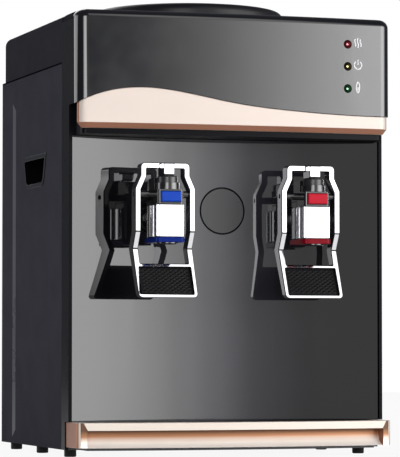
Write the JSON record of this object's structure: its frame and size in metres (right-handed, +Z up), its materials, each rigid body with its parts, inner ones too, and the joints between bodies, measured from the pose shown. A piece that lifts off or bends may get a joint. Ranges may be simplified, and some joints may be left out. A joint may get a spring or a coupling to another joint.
{
  "type": "water dispenser",
  "caption": "Countertop water dispenser with a bottle funnel on top, push-lever taps for cold and hot water, a wave-edged header with indicator lights, and a tank, cooler and heater inside.",
  "frame": {"origin": "centre of the footprint at the bottom of the feet", "axes": "+Z up, -Y out of the front with the taps, +X to the right seen from the front"},
  "size_m": [0.3, 0.298, 0.417],
  "materials": {
    "casing_black": "polished black moulding",
    "panel_black": "polished black moulding",
    "champagne": "champagne metallic coating",
    "side_paint": "satin black paint",
    "rear_paint": "satin dark grey paint",
    "red_light": "tinted lens",
    "amber_light": "tinted lens",
    "green_light": "tinted lens",
    "circuit": "solder-masked board",
    "foot_rubber": "soft matt rubber",
    "steel": "stainless steel",
    "switch_black": "fine matt moulding",
    "switch_red": "polished moulding",
    "switch_blue": "polished moulding",
    "foam": "expanded foam",
    "aluminium": "extruded",
    "fan_black": "fine matt moulding",
    "heater_steel": "mica-lined steel band",
    "silicone": "translucent silicone",
    "chrome": "bright plating",
    "tap_black": "satin black moulding",
    "pad_rubber": "textured rubber",
    "cold_blue": "polished moulding",
    "hot_red": "polished moulding"
  },
  "bodies": {
    "casing": {"front_shell": "casing_black", "front_panel": "panel_black", "centre_plug": "panel_black", "header_trim": "champagne", "base_trim": "champagne", "red_lens": "red_light", "amber_lens": "amber_light", "green_lens": "green_light", "indicator_board": "circuit", "top_cover": "casing_black", "right_side_panel": "side_paint", "left_side_panel": "side_paint", "right_handle_cup": "casing_black", "left_handle_cup": "casing_black", "base_pan": "rear_paint", "feet": "foot_rubber", "rear_panel": "rear_paint", "rear_screws": "steel", "switch_housings": "switch_black", "cord_gland": "foot_rubber", "cold_tank": "steel", "cold_insulation": "foam", "cooling_module": "aluminium", "heat_sink": "aluminium", "fan_frame": "fan_black", "hot_tank": "steel", "heater_band": "heater_steel", "thermostats": "switch_black", "cold_tube": "silicone", "feed_tube": "silicone", "hot_tube": "silicone", "power_board": "circuit", "tap_gaskets": "foot_rubber", "tap_nuts": "tap_black", "cold_tap_body": "chrome", "cold_tap_head": "tap_black", "cold_lever_pin": "steel", "cold_colour_ring": "cold_blue", "hot_tap_body": "chrome", "hot_tap_head": "tap_black", "hot_lever_pin": "steel", "hot_colour_ring": "hot_red"},
    "cold_lever": {"cold_lever": "chrome", "cold_lever_pad": "pad_rubber"},
    "cold_plunger": {"cold_plunger": "tap_black", "cold_valve_seal": "foot_rubber", "cold_valve_spring": "steel"},
    "cold_button": {"cold_lock_button": "cold_blue"},
    "hot_lever": {"hot_lever": "chrome", "hot_lever_pad": "pad_rubber"},
    "hot_plunger": {"hot_plunger": "tap_black", "hot_valve_seal": "foot_rubber", "hot_valve_spring": "steel"},
    "hot_button": {"hot_lock_button": "hot_red"},
    "fan": {"fan_impeller": "fan_black"},
    "heat_rocker": {"heat_switch": "switch_red"},
    "cool_rocker": {"cool_switch": "switch_blue"},
    "seat": {"bottle_seat": "casing_black"},
    "cap": {"drain_cap": "tap_black"}
  },
  "joints": [
    {"name": "cold_lever_push", "type": "hinge", "parent": "casing", "child": "cold_lever", "pos_m": [-0.069, -0.1233, 0.2355], "axis": [1, 0, 0], "range_deg": [0, 12], "stiffness_Nm_per_rad": 1.5, "springref_deg": -3.44},
    {"name": "cold_plunger_press", "type": "slide", "parent": "casing", "child": "cold_plunger", "axis": [0, 0, 1], "range_m": [-0.0037, 0], "deforming": ["cold_valve_spring"]},
    {"name": "cold_button_press", "type": "slide", "parent": "casing", "child": "cold_button", "axis": [0, 1, 0], "range_m": [0, 0.0025], "stiffness_N_per_m": 300, "springref_m": -0.002},
    {"name": "hot_lever_push", "type": "hinge", "parent": "casing", "child": "hot_lever", "pos_m": [0.069, -0.1233, 0.2355], "axis": [1, 0, 0], "range_deg": [0, 12], "stiffness_Nm_per_rad": 1.5, "springref_deg": -3.44},
    {"name": "hot_plunger_press", "type": "slide", "parent": "casing", "child": "hot_plunger", "axis": [0, 0, 1], "range_m": [-0.0037, 0], "deforming": ["hot_valve_spring"]},
    {"name": "hot_button_press", "type": "slide", "parent": "casing", "child": "hot_button", "axis": [0, 1, 0], "range_m": [0, 0.0025], "stiffness_N_per_m": 300, "springref_m": -0.002},
    {"name": "fan_spin", "type": "hinge", "parent": "casing", "child": "fan", "pos_m": [0, 0.125, 0.27], "axis": [0, 1, 0], "continuous": true},
    {"name": "heat_rocker_tilt", "type": "hinge", "parent": "casing", "child": "heat_rocker", "pos_m": [0.083, 0.1365, 0.15], "axis": [-1, 0, 0], "range_deg": [0, 20]},
    {"name": "cool_rocker_tilt", "type": "hinge", "parent": "casing", "child": "cool_rocker", "pos_m": [0.109, 0.1365, 0.15], "axis": [-1, 0, 0], "range_deg": [0, 20]},
    {"name": "seat_lift", "type": "slide", "parent": "casing", "child": "seat", "axis": [0, 0, 1], "range_m": [0, 0.12]},
    {"name": "cap_pull", "type": "slide", "parent": "casing", "child": "cap", "axis": [0, 1, 0], "range_m": [0, 0.02]}
  ],
  "couplings": [
    {"joint": "cold_plunger_press", "follows": "cold_lever_push", "m_per_rad": -0.0172},
    {"joint": "hot_plunger_press", "follows": "hot_lever_push", "m_per_rad": -0.0172}
  ]
}
